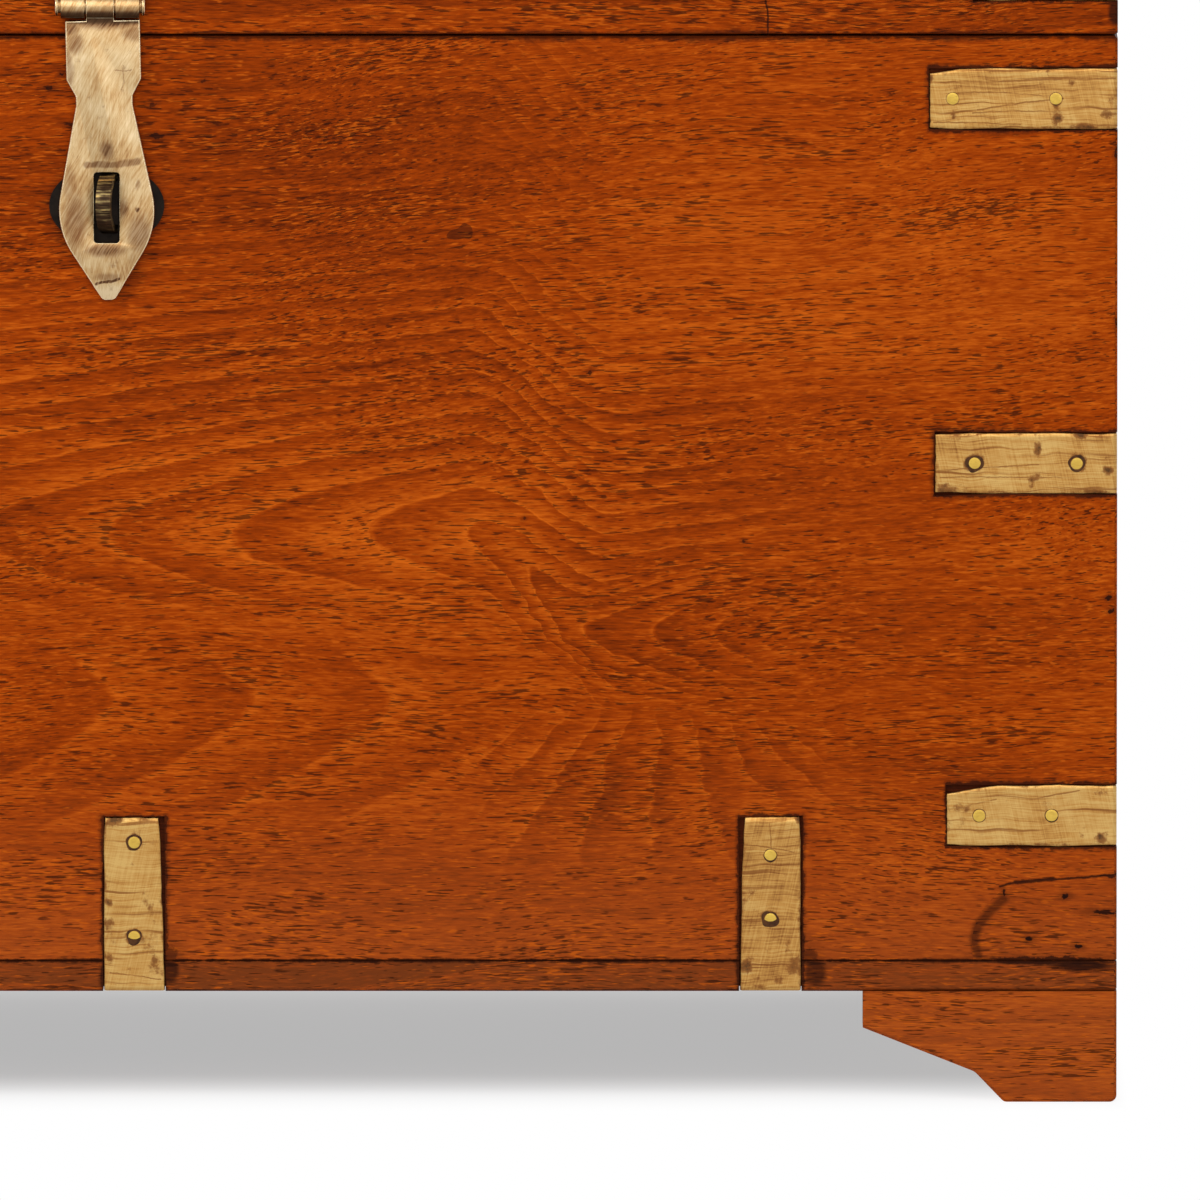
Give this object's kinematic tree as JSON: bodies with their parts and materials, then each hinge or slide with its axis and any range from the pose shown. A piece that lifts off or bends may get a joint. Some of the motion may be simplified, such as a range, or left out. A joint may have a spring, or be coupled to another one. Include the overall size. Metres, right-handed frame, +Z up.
{
  "type": "damchiya chest",
  "caption": "Brass-bound teak chest on bracket feet, with a hinged lid and a swinging hasp over a staple.",
  "frame": {"origin": "centre of the outline on the floor, with the staple's reach in front counted in", "axes": "+X to the right along the front, +Y from the front to the back, +Z up"},
  "size_m": [0.85, 0.466, 0.5238],
  "materials": {
    "teak_front": "oiled and waxed, satin",
    "teak_board": "oiled and waxed, satin",
    "teak_feet": "oiled and waxed, satin",
    "strap_brass": "hand filed, tarnished in places",
    "pin_brass": "filed flush",
    "hasp_brass": "brushed, bright at the edges",
    "aged_brass": "dark, rubbed bright at the edges",
    "hinge_brass": "dull",
    "dark_iron": "blackened"
  },
  "bodies": {
    "chest": {"back_board": "teak_board", "bottom_board": "teak_board", "bottom_nails": "dark_iron", "bottom_strap_left": "strap_brass", "bottom_strap_middle": "strap_brass", "bottom_strap_pins": "pin_brass", "bottom_strap_right": "strap_brass", "corner_strap_front_left_bottom": "strap_brass", "corner_strap_front_left_middle": "strap_brass", "corner_strap_front_left_top": "strap_brass", "corner_strap_front_right_bottom": "strap_brass", "corner_strap_front_right_middle": "strap_brass", "corner_strap_front_right_top": "strap_brass", "corner_strap_pins": "pin_brass", "corner_strap_rear_left_bottom": "strap_brass", "corner_strap_rear_left_middle": "strap_brass", "corner_strap_rear_left_top": "strap_brass", "corner_strap_rear_right_bottom": "strap_brass", "corner_strap_rear_right_middle": "strap_brass", "corner_strap_rear_right_top": "strap_brass", "foot_blocks": "teak_feet", "foot_front_left_face": "teak_feet", "foot_front_left_return": "teak_feet", "foot_front_right_face": "teak_feet", "foot_front_right_return": "teak_feet", "foot_rear_left_face": "teak_feet", "foot_rear_left_return": "teak_feet", "foot_rear_right_face": "teak_feet", "foot_rear_right_return": "teak_feet", "front_board": "teak_front", "hinge_left_body_leaf": "hinge_brass", "hinge_left_pin": "hinge_brass", "hinge_right_body_leaf": "hinge_brass", "hinge_right_pin": "hinge_brass", "hinge_screws_body": "hinge_brass", "left_side": "teak_board", "repair_patch": "teak_front", "right_side": "teak_board", "staple": "aged_brass", "staple_plate": "dark_iron"},
    "lid": {"hasp_leaf": "hasp_brass", "hasp_pin": "hasp_brass", "hasp_rivets": "pin_brass", "hinge_left_lid_leaf": "hinge_brass", "hinge_right_lid_leaf": "hinge_brass", "hinge_screws_lid": "hinge_brass", "lid_back_rail": "teak_board", "lid_edge_strap_left": "strap_brass", "lid_edge_strap_right": "strap_brass", "lid_front_rail": "teak_front", "lid_left_rail": "teak_board", "lid_nails": "dark_iron", "lid_right_rail": "teak_board", "lid_strap_front_left": "strap_brass", "lid_strap_front_right": "strap_brass", "lid_strap_pins": "pin_brass", "lid_strap_rear_left": "strap_brass", "lid_strap_rear_right": "strap_brass", "lid_top": "teak_board"},
    "hasp": {"hasp_plate": "hasp_brass"}
  },
  "joints": [
    {"name": "lid_hinge", "type": "hinge", "parent": "chest", "child": "lid", "pos_m": [0, 0.228, 0.4514], "axis": [-1, 0, 0], "range_deg": [0, 100]},
    {"name": "hasp_hinge", "type": "hinge", "parent": "lid", "child": "hasp", "pos_m": [-0.003, -0.222, 0.464], "axis": [-1, 0, 0], "range_deg": [0, 180]}
  ]
}
